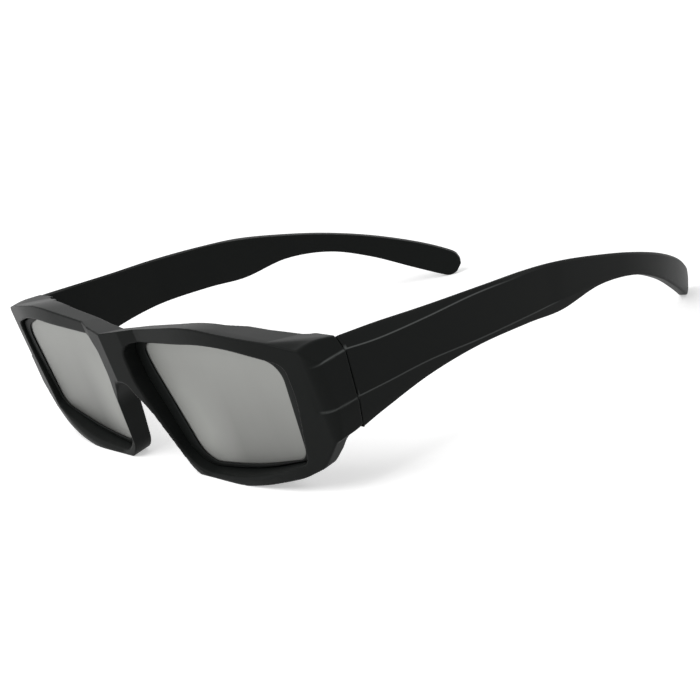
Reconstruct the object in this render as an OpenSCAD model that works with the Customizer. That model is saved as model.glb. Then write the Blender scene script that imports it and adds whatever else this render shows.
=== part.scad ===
// Wrap-around eclipse glasses: a moulded front with two aluminised-film
// filters held in lens rings, and two temples on hinge pins. Millimetres.
// Built with the temples' top line level, then tipped back so that the
// lens rims and the temple tips stand on z = 0. +X is the wearer's left,
// the front looks along -Y.

/* [Front] */
// Half of the width across the outer faces, at the temple joint
half_w = 72.2; // [68:0.2:76]
// Backward lean of the front against the temples, in degrees
front_tilt = 17.7; // [12:0.1:20]
// Radius of the front's wrap, seen from above
wrap_r = 190; // [120:5:195]
// How far the outer corner lies behind the brow
wrap_set = 8.9; // [7:0.1:11]
// Rounding of the outer corner, seen from above
corner_r = 4; // [1:0.5:6]
// How far the bridge's centre stands in front of the brows
bridge_set = 3.3; // [2:0.1:4]
// Depth of the rims, front to back
rim_depth = 6.7; // [6.5:0.1:7.5]
// Depth of the bridge, front to back
bridge_depth = 8; // [6:0.1:9]
// Height of the bridge at the centre
bridge_h = 14.6; // [11:0.1:16]
// Rise of the brow's crest over the bridge
brow_rise = 4.4; // [3:0.1:6]
// Distance of the brow's crest from the centre
brow_at = 37; // [32:0.5:42]
// Distance from the outer corner back to the temple joint
cheek_len = 10.1; // [9:0.1:14]
// Drop of the cheek's bottom edge below the bridge's top
cheek_drop = 27.4; // [25:0.1:30]
// Height of the joint's top over the bridge's top
joint_rise = 1.3; // [0:0.1:2]

/* [Lens openings] */
// Inner edge of each opening, from the centre
opening_in = 6; // [6:0.1:7.5]
// Outer edge of each opening, from the centre
opening_out = 63.4; // [61:0.1:64]
// Top inner corner of the opening, below the bridge's top
opening_drop = 3.1; // [2.5:0.1:4]
// Height of the opening at its inner side
opening_h = 36.8; // [34:0.1:37]
// Rise of the opening's top edge to its crest
opening_bow = 2.3; // [0.5:0.1:3]
// Width of the rim under the opening
rim_w = 1.6; // [1.5:0.1:3]
// Width of the rim at the nose
nose_rim_w = 1; // [1:0.1:2]

/* [Filters] */
// Angle that each flat filter is turned back at its outer end, in degrees
filter_wrap = 5; // [4:0.1:6]
// Depth from the bridge's face to the lens ring
ring_set = 4.4; // [3.8:0.1:4.5]
// Thickness of the lens ring
ring_t = 1.6; // [1.3:0.1:1.7]
// Width that the lens ring shows at its two sides
ring_side = 4; // [3.5:0.1:6]
// Width that the lens ring shows at the top and bottom
ring_edge = 1.5; // [1.3:0.1:2]
// Width of the ledge behind the lens ring
ledge_w = 1.4; // [1:0.1:1.8]
// Thickness of the filter film
film_t = 0.4; // [0.2:0.05:0.6]
// Depth from the lens ring's face to the film
film_set = 0.35; // [0.3:0.05:0.5]
// Depth of the groove that holds the film
groove_d = 0.5; // [0.3:0.1:0.6]

/* [Temples] */
// Length of the straighter part of the temple, from the joint
temple_run = 97.5; // [90:0.5:105]
// Length of the curved tip
temple_tip = 52.5; // [45:0.5:58]
// Heading of the temple at the joint, in degrees, 90 is straight back
temple_aim = 87; // [86:0.1:89]
// Inward turn of the straighter part, in degrees
run_turn = 10.7; // [7:0.1:12]
// Inward turn of the tip, in degrees
tip_turn = 28; // [20:0.5:32]
// Thickness at the joint
root_t = 4; // [3.5:0.1:4.3]
// Length behind the joint over which the wall thins
root_run = 32; // [25:1:40]
// Thickness of the thinner part and the tip
tip_t = 2.4; // [2:0.1:3]
// Lean of the upper facet, in mm at the top edge of the joint
upper_lean = 2.1; // [1:0.1:2.2]
// Lean of the lower facet, in mm at the bottom edge of the joint
lower_lean = 1.3; // [0.6:0.1:1.8]

/* [Hinges] */
// Backward lean of the joint and of the hinge axis, in degrees
hinge_lean = 11.3; // [9:0.1:13]
// Width of the block on the front that carries the hinge
block_w = 10.2; // [9.8:0.1:11]
// Radius of the hinge pin
pin_r = 0.9; // [0.7:0.05:1]
// Radius of the hinge knuckles
knuckle_r = 2.6; // [2.3:0.1:2.8]
// Height of the temple's knuckle
knuckle_h = 6; // [4:0.1:8]
// Thickness of each ear on the front
ear_t = 3.2; // [2.5:0.1:3.6]
// Top of the upper ear, below the bridge's top
ear_top = 3.4; // [2.5:0.1:4.5]
// Radius of the pin's head
head_r = 1.5; // [1.3:0.05:1.8]
// Height of the pin's head
head_h = 0.9; // [0.6:0.1:1.2]

/* [Clearances] */
// Gap at the joint between the front and a temple
joint_gap = 0.25; // [0.2:0.05:0.4]
// Gap between parts that turn past each other
turn_gap = 0.3; // [0.2:0.05:0.4]
// Radial clearance between the pin and the temple's knuckle
pin_fit = 0.05; // [0.02:0.01:0.08]
// Gap between the lens ring and the opening around it
ring_gap = 0.3; // [0.2:0.05:0.4]
// Clearance of pieces that are fitted and stay put
fit_gap = 0.02; // [0.01:0.01:0.05]

/* [Hidden] */
moulding = "#26282a";
film_tint = "#a4a6a8";
pin_tint = "#8f9194";
// Largest distance between a round outline and its straight pieces
chord_gap = 0.02;
// Length that cutting shapes reach past what they cut
reach = 120;
// Length that joined shapes run into each other
lap = 0.8;

// Unit vector along v
function unit(v) = v / norm(v);

// Arc that rounds corner b between a and c, for b = [x, y, radius]
function corner(a, b, c) =
    let(u = unit([a.x - b.x, a.y - b.y]))
    let(w = unit([c.x - b.x, c.y - b.y]))
    let(half = acos(u * w) / 2)
    let(room = 0.49 * min(norm([a.x - b.x, a.y - b.y]), norm([c.x - b.x, c.y - b.y])))
    let(r = min(b[2], room * tan(half)))
    let(centre = [b.x, b.y] + unit(u + w) * r / sin(half))
    let(from = [b.x, b.y] + u * r / tan(half) - centre)
    let(first = atan2(from.y, from.x))
    let(turn = (180 - 2 * half) * (u.x * w.y - u.y * w.x > 0 ? -1 : 1))
    let(n = max(2, ceil(abs(turn) / (2 * acos(1 - chord_gap / r)))))
    [for (k = [0 : n]) centre + r * [cos(first + turn * k / n), sin(first + turn * k / n)]];

// Closed outline through [x, y] corners, where [x, y, radius] is rounded
function rounded(v) = [
    for (i = [0 : len(v) - 1])
        each len(v[i]) < 3 ? [v[i]] : corner(v[(i + len(v) - 1) % len(v)], v[i], v[(i + 1) % len(v)])
];

// Corner v moved to the other side of the middle plane
function flipped(v) = len(v) < 3 ? [-v.x, v.y] : [-v.x, v.y, v[2]];

// Corners of both halves, from those of the half at +X
function both(v) = concat(v, [for (i = [len(v) - 1 : -1 : 0]) if (v[i].x > 0) flipped(v[i])]);

// Point at t along a smooth curve through the points p
function along(p, t) =
    let(i = min(floor(t), len(p) - 2))
    let(f = t - i)
    let(a = p[max(i - 1, 0)])
    let(b = p[i])
    let(c = p[i + 1])
    let(d = p[min(i + 2, len(p) - 1)])
    b + 0.5 * f * (c - a + f * (2 * a - 5 * b + 4 * c - d + f * (3 * b - a - 3 * c + d)));

// Everything past the plane through p, on the side that n points to
module beyond(p, n) {
    translate(p)
        rotate([0, acos(n.z), atan2(n.y, n.x)])
            translate([-reach, -reach, 0])
                cube([2 * reach, 2 * reach, reach]);
}

// Everything past the plane through three points, listed anticlockwise
module past(p) {
    beyond(p[0], unit(cross(p[1] - p[0], p[2] - p[0])));
}

// Front, seen from above: brow line, corners and joint, at the bridge's height
brow_in = 12.6;
brow_y = 2.7;
prow_y = brow_y - bridge_set;
joint_y = brow_y + wrap_set + cheek_len;
cheek_slope = tan(90 - temple_aim);
corner_x = half_w - cheek_len * cheek_slope;
joint_slope = tan(hinge_lean);
past_joint = 12;
block_x = half_w - block_w;
rim_back = brow_y + rim_depth;
plan_half = [
    [0, prow_y],
    [7.5, brow_y - 2.3],
    [brow_in, brow_y],
    [(brow_in + corner_x) / 2, brow_y, wrap_r],
    [corner_x, brow_y + wrap_set, corner_r],
    [half_w + past_joint * cheek_slope, joint_y + past_joint],
    [block_x + 1.5, joint_y + past_joint],
    [block_x, joint_y - 1, 2],
    [block_x - 10, joint_y - 5.2, 6],
    [block_x - 15.5, joint_y - 6.7, 3],
    [brow_at + 5, rim_back + 2.4, 4],
    [brow_at - 8, rim_back, 60],
    [brow_in - 0.6, rim_back - 1.1, 30],
    [6, prow_y + bridge_depth + 0.2, 3],
    [0, prow_y + bridge_depth]
];

// Lens opening, seen along the front's tilt, drawn in by an inset
crest_x = 44;
opening_top = -opening_drop;
opening_low = -opening_drop - opening_h;
nose_turn = -13.5;
nose_foot = 7.8;
function opening(inset) = [
    [opening_in + inset, opening_top - inset, 4.5],
    [crest_x, opening_top + opening_bow - inset, 60],
    [opening_out - inset, opening_top - 4 - inset, 3.5],
    [opening_out - inset, opening_top - 13, 30],
    [opening_out - 4 - inset, opening_low + 6.3 + inset, 3],
    [crest_x - 6, opening_low + 1.1 + inset, 120],
    [opening_in + nose_foot + inset, opening_low + inset, 10],
    [opening_in + inset, nose_turn, 12]
];

// Window of the lens ring, grown by what the groove takes
function window(grow) = [
    [opening_in + ring_side - 0.2 - grow, opening_top - ring_edge + grow, 3],
    [crest_x, opening_top + opening_bow - ring_edge + grow, 60],
    [opening_out - ring_side + 1.4 + grow, opening_top - 3.8 - ring_edge + grow, 5],
    [opening_out - ring_side - 1.4 + grow, opening_low + 6.5 - grow, 5],
    [crest_x - 6, opening_low + 1.1 + ring_edge - grow, 120],
    [opening_in + nose_foot + ring_side - 0.3 - grow, opening_low + ring_edge - grow, 7],
    [opening_in + ring_side + 0.1 - grow, opening_top - 7, 60]
];

// Side of the nose at height z, along the rim
function nose_x(z) = opening_in + nose_foot * (z - nose_turn) / (opening_low - nose_turn) - nose_rim_w;

// Front's outline, seen along its tilt; its top is trimmed by the brow line
rim_low = opening_low - rim_w;
outline_half = [
    [0, 12],
    [30, 8.3],
    [half_w - 4.2, -3.5, 14],
    [half_w + 4, -3.5],
    [half_w + 4, -cheek_drop],
    [half_w - 2, -cheek_drop, 2.5],
    [opening_out + 0.8, opening_low + 5.3, 5],
    [crest_x + 13, opening_low + 2.4, 25],
    [crest_x + 1, rim_low + 1.7, 60],
    [crest_x - 11, rim_low + 0.1, 80],
    [nose_x(rim_low) + 0.6, rim_low, 8],
    [nose_x(nose_turn - 7.7) + 0.1, nose_turn - 7.7, 15],
    [1.8, -bridge_h + 0.2, 3]
];

// Brow line, seen along the temples
brow_half = [
    [0, 0],
    [brow_in, 1.7],
    [brow_at, brow_rise, 60],
    [block_x - 2, joint_rise + 0.2],
    [half_w + 4, joint_rise + 0.2],
    [half_w + 4, -reach / 2],
];

// Creases that run from the temple over the cheek and fade at the corner
upper_root = -1.5;
lower_root = -13.3;
bottom_root = -21.1;
upper_plane = [
    [half_w - 0.3, joint_y - 7.6, -3.9],
    [half_w, joint_y + 0.8, upper_root],
    [half_w - upper_lean, joint_y, joint_rise]
];
lower_plane = [
    [half_w - 0.2, joint_y - 5.1, -15.5],
    [half_w + 0.2 - lower_lean, joint_y + 4, bottom_root],
    [half_w + 0.1, joint_y + 3.8, lower_root]
];
top_plane = [
    [half_w, joint_y - 9.2, 0.2],
    [half_w, joint_y, joint_rise],
    [half_w - 13, brow_y + 5.5, joint_rise + 0.4]
];
// Bevel under the cheek, and what is cut away behind its foot, in depth and height
under_plane = [
    [opening_out - 0.1, 8.9, opening_low + 4.7],
    [half_w - 2.5, 13.5, -cheek_drop - 3.4],
    [half_w - 1.7, 10.5, -cheek_drop - 0.4]
];
foot = [
    [reach / 2, -cheek_drop + 0.9],
    [18.5, -cheek_drop + 0.4],
    [14.4, -cheek_drop - 0.8, 2],
    [14, -cheek_drop - 3.8, 3],
    [12.2, opening_low + 4.9, 6],
    [11.6, rim_low - 5],
    [reach / 2, rim_low - 5]
];

// Places children that are drawn with the front upright
module tilted() {
    rotate([front_tilt, 0, 0])
        children();
}

// Places children of the left filter's plane, drawn in X and Y, facing +Z
module at_filter() {
    tilted()
        translate([opening_in, (brow_y - 2.3 + ring_set) * cos(front_tilt), 0])
            rotate([0, 0, filter_wrap])
                translate([-opening_in, 0, 0])
                    rotate([90, 0, 0])
                        children();
}

// Sheet with the outline v from depth a to depth b in the filter's plane
module sheet(v, a, b) {
    translate([0, 0, a])
        linear_extrude(b - a)
            polygon(rounded(v));
}

// Hinge, with +Z along the pin and +Y out of the front's joint face
pin_x = half_w - root_t - knuckle_r - turn_gap - 0.2;
pin_back = knuckle_r + turn_gap;
ear_low = -ear_top - ear_t - turn_gap - knuckle_h - turn_gap - ear_t;
knuckle_low = ear_low + ear_t + turn_gap;
module at_hinge() {
    translate([pin_x, joint_y, 0])
        rotate([hinge_lean, 0, 0])
            children();
}

// Temple, by stations: place along it, 1 for the straighter part and 1 more
// for the tip, and height, for the top and the bottom edge
top_line = [
    [-joint_rise * joint_slope / temple_run, joint_rise],
    [0.113, 2.4], [0.256, 3.6], [0.42, 5.2], [0.6, 6.5], [0.74, 6.8], [0.9, 5.7],
    [1.12, 3.8], [1.43, 0.8], [1.73, -3.3], [1.94, -7.3], [1.99, -9.6], [2, -11.6]
];
bottom_line = [
    [-bottom_root * joint_slope / temple_run, bottom_root],
    [0.113, -18.0], [0.256, -12.6], [0.42, -8.7], [0.6, -6.7], [0.74, -5.8], [0.9, -2.2],
    [1.12, -2.4], [1.4, -6.0], [1.67, -11.3], [1.85, -14.7], [1.92, -15.6], [1.97, -14.6]
];
upper_start = [
    [-upper_root * joint_slope / temple_run, upper_root],
    [0.103, -0.8], [0.246, 1.3], [0.42, 4.1], [0.59, 5.6]
];
lower_start = [
    [-lower_root * joint_slope / temple_run, lower_root],
    [0.113, -11.7], [0.256, -9.0], [0.42, -7.2], [0.6, -4.9], [0.74, -3.1]
];
edge_w = 0.7;

function reached(u) = u < 1 ? u * temple_run : temple_run + (u - 1) * temple_tip;
function stations(v) = [for (p = v) [reached(p.x), p.y]];
function inward(a, b) = [for (k = [0 : len(a) - 1]) a[k] + unit(b[k] - a[k]) * edge_w];
top_edge = stations(top_line);
bottom_edge = stations(bottom_line);
function crease(start, edge, other) =
    let(given = stations(start))
    let(rest = inward(edge, other))
    [for (k = [0 : len(edge) - 1]) k < len(given) ? given[k] : rest[k]];
upper_crease = crease(upper_start, top_edge, bottom_edge);
lower_crease = crease(lower_start, bottom_edge, top_edge);

// Heading and place of the temple's outer face, seen from above
run_r = temple_run * 180 / (PI * run_turn);
tip_r = temple_tip * 180 / (PI * tip_turn);
knee = temple_aim + run_turn;
function heading(s) =
    s < temple_run
        ? temple_aim + run_turn * s / temple_run
        : knee + tip_turn * (s - temple_run) / temple_tip;
function arc(r, from, to) = r * [sin(to) - sin(from), cos(from) - cos(to)];
function face_at(s) =
    [half_w, joint_y] + arc(run_r, temple_aim, heading(min(s, temple_run)))
    + (s > temple_run ? arc(tip_r, knee, heading(s)) : [0, 0]);

// Point of the temple at p = [length along it, height], d in from its face
lean_fade = 40;
function temple_at(p, d) =
    let(h = heading(p.x))
    let(q = face_at(p.x) + d * [-sin(h), cos(h)])
    [q.x + p.y * cheek_slope * tan(front_tilt) * max(0, 1 - p.x / lean_fade), q.y, p.y];

root_keep = 8;
function wall_t(s) =
    tip_t + (root_t - tip_t) * min(1, max(0, 1 - (s - root_keep) / root_run));
upper_gain = upper_lean / (joint_rise - upper_root);
lower_gain = lower_lean / (lower_root - bottom_root);
steps = 4;
function section(t) =
    let(a = along(top_edge, t))
    let(b = along(upper_crease, t))
    let(c = along(lower_crease, t))
    let(d = along(bottom_edge, t))
    [
        temple_at(a, norm(a - b) * upper_gain), temple_at(b, 0), temple_at(c, 0),
        temple_at(d, norm(c - d) * lower_gain), temple_at(d, wall_t(d.x)), temple_at(a, wall_t(a.x))
    ];
sections = [for (i = [0 : steps * (len(top_edge) - 1)]) section(i / steps)];
sides = len(sections[0]);

// Solid that runs through rings of points, closed at both ends
module loft(rings) {
    n = len(rings[0]);
    last = len(rings) - 1;
    points = [for (ring = rings) each ring];
    walls = [
        for (i = [0 : last - 1], k = [0 : n - 1])
            let(a = i * n + k, b = i * n + (k + 1) % n)
            each [[a, a + n, b], [b, a + n, b + n]]
    ];
    start = [[for (k = [0 : n - 1]) k]];
    end = [[for (k = [n - 1 : -1 : 0]) last * n + k]];
    polyhedron(points, concat(walls, start, end));
}

// Stance: tipped back until the rims and the temple tips reach the floor
rim_cut = 0.4;
tip_cut = 0.1;
rim_point = [
    (brow_y + 0.9) * cos(front_tilt) * cos(front_tilt) - (rim_low + 0.2) * sin(front_tilt),
    (brow_y + 0.9) * cos(front_tilt) * sin(front_tilt) + (rim_low + 0.2) * cos(front_tilt)
];
tip_points = [for (ring = sections) [ring[3].y, ring[3].z]];
tip_point = tip_points[len(tip_points) - 1 - steps];
stance = atan2(tip_point.y - rim_point.y - rim_cut + tip_cut, tip_point.x - rim_point.x);
function height(p) = p.y * cos(stance) - p.x * sin(stance);
function depth(p) = p.x * cos(stance) + p.y * sin(stance);
floor_z = height(rim_point) + rim_cut;
back_y = max([for (ring = sections, p = ring) depth([p.y, p.z])]);
front_y = depth([prow_y, 0]);
module standing() {
    translate([0, -(front_y + back_y) / 2, -floor_z])
        rotate([-stance, 0, 0])
            children();
}
module floor() {
    translate([-reach, -2 * reach, -reach])
        cube([2 * reach, 4 * reach, reach]);
}

module front_body() {
    intersection() {
        tilted()
            translate([0, 0, rim_low - 1])
                linear_extrude(reach)
                    polygon([for (p = rounded(both(plan_half))) [p.x, p.y * cos(front_tilt)]]);
        tilted()
            rotate([90, 0, 0])
                linear_extrude(reach, center = true)
                    polygon(rounded(both(outline_half)));
        rotate([90, 0, 0])
            linear_extrude(reach, center = true)
                polygon(rounded(both(brow_half)));
    }
}

// Everything that is cut from the left half of the front
module front_cuts() {
    at_filter() {
        sheet(opening(0), -ring_t, reach / 2);
        sheet(opening(ledge_w), -reach / 2, 1);
    }
    beyond([0, joint_y, 0], [0, cos(hinge_lean), sin(hinge_lean)]);
    past(upper_plane);
    past(lower_plane);
    past(top_plane);
    tilted() {
        past(under_plane);
        rotate([90, 0, 90])
            linear_extrude(reach)
                polygon(rounded(foot));
    }
}

// Ear that carries the pin, from height low up to low + ear_t
module ear(low) {
    translate([0, pin_back, low])
        cylinder(r = knuckle_r, h = ear_t, $fn = 48);
    translate([-knuckle_r, -lap, low])
        cube([2 * knuckle_r, pin_back + lap, ear_t]);
}

module front_frame() {
    color(moulding)
        standing_on_floor()
            difference() {
                union() {
                    difference() {
                        front_body();
                        front_cuts();
                        mirror([1, 0, 0])
                            front_cuts();
                    }
                    for (side = [0, 1])
                        mirror([side, 0, 0])
                            at_hinge() {
                                ear(-ear_top - ear_t);
                                ear(ear_low);
                            }
                }
                for (side = [0, 1])
                    mirror([side, 0, 0])
                        at_hinge()
                            pin(fit_gap);
            }
}

module standing_on_floor() {
    difference() {
        standing()
            children();
        floor();
    }
}

// Hinge pin with its head sunk into the upper ear, grown by a clearance
module pin(gap) {
    translate([0, pin_back, ear_low - (gap > 0 ? lap : 0)])
        cylinder(r = pin_r + gap, h = -ear_top - ear_low + (gap > 0 ? lap : 0), $fn = 48);
    translate([0, pin_back, -ear_top - head_h - gap])
        cylinder(r = head_r + gap, h = head_h + gap + (gap > 0 ? lap : 0), $fn = 48);
}

module hinge_pin() {
    color(pin_tint)
        standing()
            at_hinge()
                pin(0);
}

module lens_ring() {
    color(moulding)
        standing()
            at_filter()
                difference() {
                    sheet(opening(ring_gap), -ring_t, 0);
                    sheet(window(0), -ring_t - lap, lap);
                    sheet(window(groove_d), -film_set - film_t - fit_gap, -film_set + fit_gap);
                }
}

module filter() {
    color(film_tint)
        standing()
            at_filter()
                sheet(window(groove_d - fit_gap), -film_set - film_t, -film_set);
}

module temple() {
    color(moulding)
        standing_on_floor()
            difference() {
                union() {
                    difference() {
                        loft(sections);
                        translate([0, joint_y, 0])
                            rotate([hinge_lean, 0, 0])
                                translate([0, joint_gap - reach, -reach / 2])
                                    cube([reach, reach, reach]);
                    }
                    at_hinge()
                        knuckle();
                }
                at_hinge()
                    translate([0, pin_back, knuckle_low - lap])
                        cylinder(r = pin_r + pin_fit, h = knuckle_h + 2 * lap, $fn = 48);
            }
}

// Knuckle between the ears, and the web that joins it to the temple's wall
module knuckle() {
    translate([0, pin_back, knuckle_low])
        cylinder(r = knuckle_r, h = knuckle_h, $fn = 48);
    translate([0, pin_back - knuckle_r, knuckle_low])
        cube([half_w - root_t - pin_x + lap, 2 * knuckle_r, knuckle_h]);
}

front_frame();
lens_ring();  // lens_ring_left
mirror([1, 0, 0]) lens_ring();  // lens_ring_right
filter();  // filter_left
mirror([1, 0, 0]) filter();  // filter_right
temple();  // temple_left
mirror([1, 0, 0]) temple();  // temple_right
hinge_pin();  // hinge_pin_left
mirror([1, 0, 0]) hinge_pin();  // hinge_pin_right
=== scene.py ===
"""Wrap-around eclipse glasses: a moulded front, two silver filters in lens rings,
two folding temples and their hinge pins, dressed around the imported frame.

Sizes in the tables below are millimetres. They repeat the part's own values,
because each piece has to fill the solid that it stands for. Three frames are
used: the front's own, which stands upright; the temples', which is that frame
leaned forward; and the floor's, in which the glasses stand.
"""
import math

import bpy
import numpy as np
from mathutils import Matrix, Vector


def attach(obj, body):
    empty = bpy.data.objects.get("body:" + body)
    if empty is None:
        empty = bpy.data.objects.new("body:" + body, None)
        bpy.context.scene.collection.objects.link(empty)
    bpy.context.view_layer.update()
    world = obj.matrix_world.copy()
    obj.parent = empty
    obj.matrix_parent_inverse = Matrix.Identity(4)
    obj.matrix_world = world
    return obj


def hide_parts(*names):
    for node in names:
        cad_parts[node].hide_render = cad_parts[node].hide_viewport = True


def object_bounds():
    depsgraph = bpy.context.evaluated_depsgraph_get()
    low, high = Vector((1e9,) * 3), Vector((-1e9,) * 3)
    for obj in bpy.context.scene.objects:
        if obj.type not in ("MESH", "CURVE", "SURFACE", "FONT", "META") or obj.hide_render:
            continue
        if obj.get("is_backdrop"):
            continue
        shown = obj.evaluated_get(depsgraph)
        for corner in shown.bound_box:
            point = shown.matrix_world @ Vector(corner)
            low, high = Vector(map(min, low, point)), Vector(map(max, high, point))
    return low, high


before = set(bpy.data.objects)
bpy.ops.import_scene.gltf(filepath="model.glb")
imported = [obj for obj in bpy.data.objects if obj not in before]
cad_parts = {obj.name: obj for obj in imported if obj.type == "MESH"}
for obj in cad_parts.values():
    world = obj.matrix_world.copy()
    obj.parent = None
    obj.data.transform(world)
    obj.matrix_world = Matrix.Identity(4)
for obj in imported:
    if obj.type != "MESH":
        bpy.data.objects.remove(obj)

bl_info = {
    "name": "Eclipse glasses",
    "version": (1, 0, 0),
    "blender": (4, 5, 0),
    "location": "3D View > Sidebar > Glasses",
    "description": "Builds eclipse glasses with silver filters and folding temples",
    "category": "Add Mesh",
}

CAD_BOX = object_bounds()
MM = 0.001
PLASTIC = "black_plastic"
FILM = "filter_film"
STEEL = "pin_steel"
ON_FRONT = {"left": "front", "right": "front"}
ON_TEMPLES = {"left": "left_temple", "right": "right_temple"}

# Front
HALF_W = 72.2
FRONT_TILT = math.radians(17.7)
WRAP_R = 190.0
WRAP_SET = 8.9
CORNER_R = 4.0
BRIDGE_SET = 3.3
RIM_DEPTH = 6.7
BRIDGE_DEPTH = 8.0
BRIDGE_H = 14.6
BROW_RISE = 4.4
BROW_AT = 37.0
CHEEK_LEN = 10.1
CHEEK_DROP = 27.4
JOINT_RISE = 1.3
BROW_IN = 12.6
BROW_Y = 2.7
PAST_JOINT = 12.0
TEMPLE_AIM = math.radians(87.0)
HINGE_LEAN = math.radians(11.3)
BLOCK_W = 10.2
PROW_Y = BROW_Y - BRIDGE_SET
JOINT_Y = BROW_Y + WRAP_SET + CHEEK_LEN
CHEEK_SLOPE = math.tan(math.pi / 2 - TEMPLE_AIM)
CORNER_X = HALF_W - CHEEK_LEN * CHEEK_SLOPE
JOINT_SLOPE = math.tan(HINGE_LEAN)
BLOCK_X = HALF_W - BLOCK_W
RIM_BACK = BROW_Y + RIM_DEPTH

# Lens openings
OPENING_IN = 6.0
OPENING_OUT = 63.4
OPENING_DROP = 3.1
OPENING_H = 36.8
OPENING_BOW = 2.3
RIM_W = 1.6
NOSE_RIM_W = 1.0
CREST_X = 44.0
OPENING_TOP = -OPENING_DROP
OPENING_LOW = -OPENING_DROP - OPENING_H
NOSE_TURN = -13.5
NOSE_FOOT = 7.8
RIM_LOW = OPENING_LOW - RIM_W

# Filters and lens rings
FILTER_WRAP = math.radians(5.0)
RING_SET = 4.4
RING_T = 1.6
RING_SIDE = 4.0
RING_EDGE = 1.5
LEDGE_W = 1.4
FILM_T = 0.4
FILM_SET = 0.35
GROOVE_D = 0.5
RING_GAP = 0.3
FIT_GAP = 0.02

# Temples
TEMPLE_RUN = 97.5
TEMPLE_TIP = 52.5
RUN_TURN = math.radians(10.7)
TIP_TURN = math.radians(28.0)
ROOT_T = 4.0
ROOT_KEEP = 8.0
ROOT_RUN = 32.0
TIP_T = 2.4
UPPER_LEAN = 2.1
LOWER_LEAN = 1.3
UPPER_ROOT = -1.5
LOWER_ROOT = -13.3
BOTTOM_ROOT = -21.1
EDGE_W = 0.7
LEAN_FADE = 40.0
JOINT_GAP = 0.25
TOP_LINE = [
    [-JOINT_RISE * JOINT_SLOPE / TEMPLE_RUN, JOINT_RISE],
    [0.113, 2.4], [0.256, 3.6], [0.42, 5.2], [0.6, 6.5], [0.74, 6.8], [0.9, 5.7],
    [1.12, 3.8], [1.43, 0.8], [1.73, -3.3], [1.94, -7.3], [1.99, -9.6], [2, -11.6],
]
BOTTOM_LINE = [
    [-BOTTOM_ROOT * JOINT_SLOPE / TEMPLE_RUN, BOTTOM_ROOT],
    [0.113, -18.0], [0.256, -12.6], [0.42, -8.7], [0.6, -6.7], [0.74, -5.8], [0.9, -2.2],
    [1.12, -2.4], [1.4, -6.0], [1.67, -11.3], [1.85, -14.7], [1.92, -15.6], [1.97, -14.6],
]
UPPER_START = [
    [-UPPER_ROOT * JOINT_SLOPE / TEMPLE_RUN, UPPER_ROOT],
    [0.103, -0.8], [0.246, 1.3], [0.42, 4.1], [0.59, 5.6],
]
LOWER_START = [
    [-LOWER_ROOT * JOINT_SLOPE / TEMPLE_RUN, LOWER_ROOT],
    [0.113, -11.7], [0.256, -9.0], [0.42, -7.2], [0.6, -4.9], [0.74, -3.1],
]

# Hinges
TURN_GAP = 0.3
PIN_R = 0.9
PIN_FIT = 0.05
KNUCKLE_R = 2.6
KNUCKLE_H = 6.0
EAR_T = 3.2
EAR_TOP = 3.4
HEAD_R = 1.5
HEAD_H = 0.9
LAP = 0.8
PIN_X = HALF_W - ROOT_T - KNUCKLE_R - TURN_GAP - 0.2
PIN_BACK = KNUCKLE_R + TURN_GAP
EAR_LOW = -EAR_TOP - EAR_T - TURN_GAP - KNUCKLE_H - TURN_GAP - EAR_T
KNUCKLE_LOW = EAR_LOW + EAR_T + TURN_GAP

# Fine form of the visible pieces
HINGE_STEP = 0.24
LEDGE_RISE = 0.2
# Share of the painted crease highlight that the lower crease gets
LOWER_HIGHLIGHT = 0.7
NOSE_KEEN = 0.4
TOP_FALL = 0.4
LEDGE_START = (JOINT_Y - 9.5, JOINT_Y - 5)
UPPER_FADE = (42.0, 60.0)
LOWER_FADE = (66.0, 73.0)
END_ROUND = 0.25
ARCH_ROUND = 0.8
RIM_ROUND = 1.0
FILM_BEHIND = 0.14
FILM_PLAY = 0.1

# Camera in the temples' frame
CAMERA_AT = (372.5, -209.1, 72.6)
CAMERA_DOWN = (0.0920, -0.1948, -0.9765)
CAMERA_AHEAD = (-0.7761, 0.6004, -0.1929)


# Outlines

def unit(v):
    """v with length 1."""
    return v / np.linalg.norm(v)


def corner(a, b, c, sag=0.004):
    """Arc that rounds corner b = [x, y, radius] between a and c."""
    at = np.array(b[:2], float)
    u = unit(np.array(a[:2]) - at)
    w = unit(np.array(c[:2]) - at)
    half = math.acos(float(np.clip(u @ w, -1, 1))) / 2
    room = 0.49 * min(np.linalg.norm(np.array(a[:2]) - at), np.linalg.norm(np.array(c[:2]) - at))
    r = min(b[2], room * math.tan(half))
    centre = at + unit(u + w) * r / math.sin(half)
    start = at + u * r / math.tan(half) - centre
    first = math.atan2(start[1], start[0])
    turn = (math.pi - 2 * half) * (-1 if u[0] * w[1] - u[1] * w[0] > 0 else 1)
    n = max(2, math.ceil(abs(turn) / (2 * math.acos(1 - sag / r))))
    steps = first + turn * np.arange(n + 1) / n
    return centre + r * np.column_stack([np.cos(steps), np.sin(steps)])


def rounded(v):
    """Closed outline through [x, y] corners, where [x, y, radius] is rounded."""
    n = len(v)
    return np.vstack([
        np.array([p[:2]]) if len(p) < 3 else corner(v[i - 1], p, v[(i + 1) % n])
        for i, p in enumerate(v)
    ])


def both(v):
    """Corners of both halves, from those of the half at +X."""
    return v + [[-p[0]] + p[1:] for p in reversed(v) if p[0] > 0]


def crossings(points, a, b):
    """True where a point lies inside a closed outline."""
    inside = np.zeros(a.shape, bool)
    for p, q in zip(points, np.roll(points, -1, axis=0)):
        if p[1] != q[1]:
            over = (p[1] > b) != (q[1] > b)
            inside ^= over & (a < (q[0] - p[0]) * (b - p[1]) / (q[1] - p[1]) + p[0])
    return inside


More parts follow.
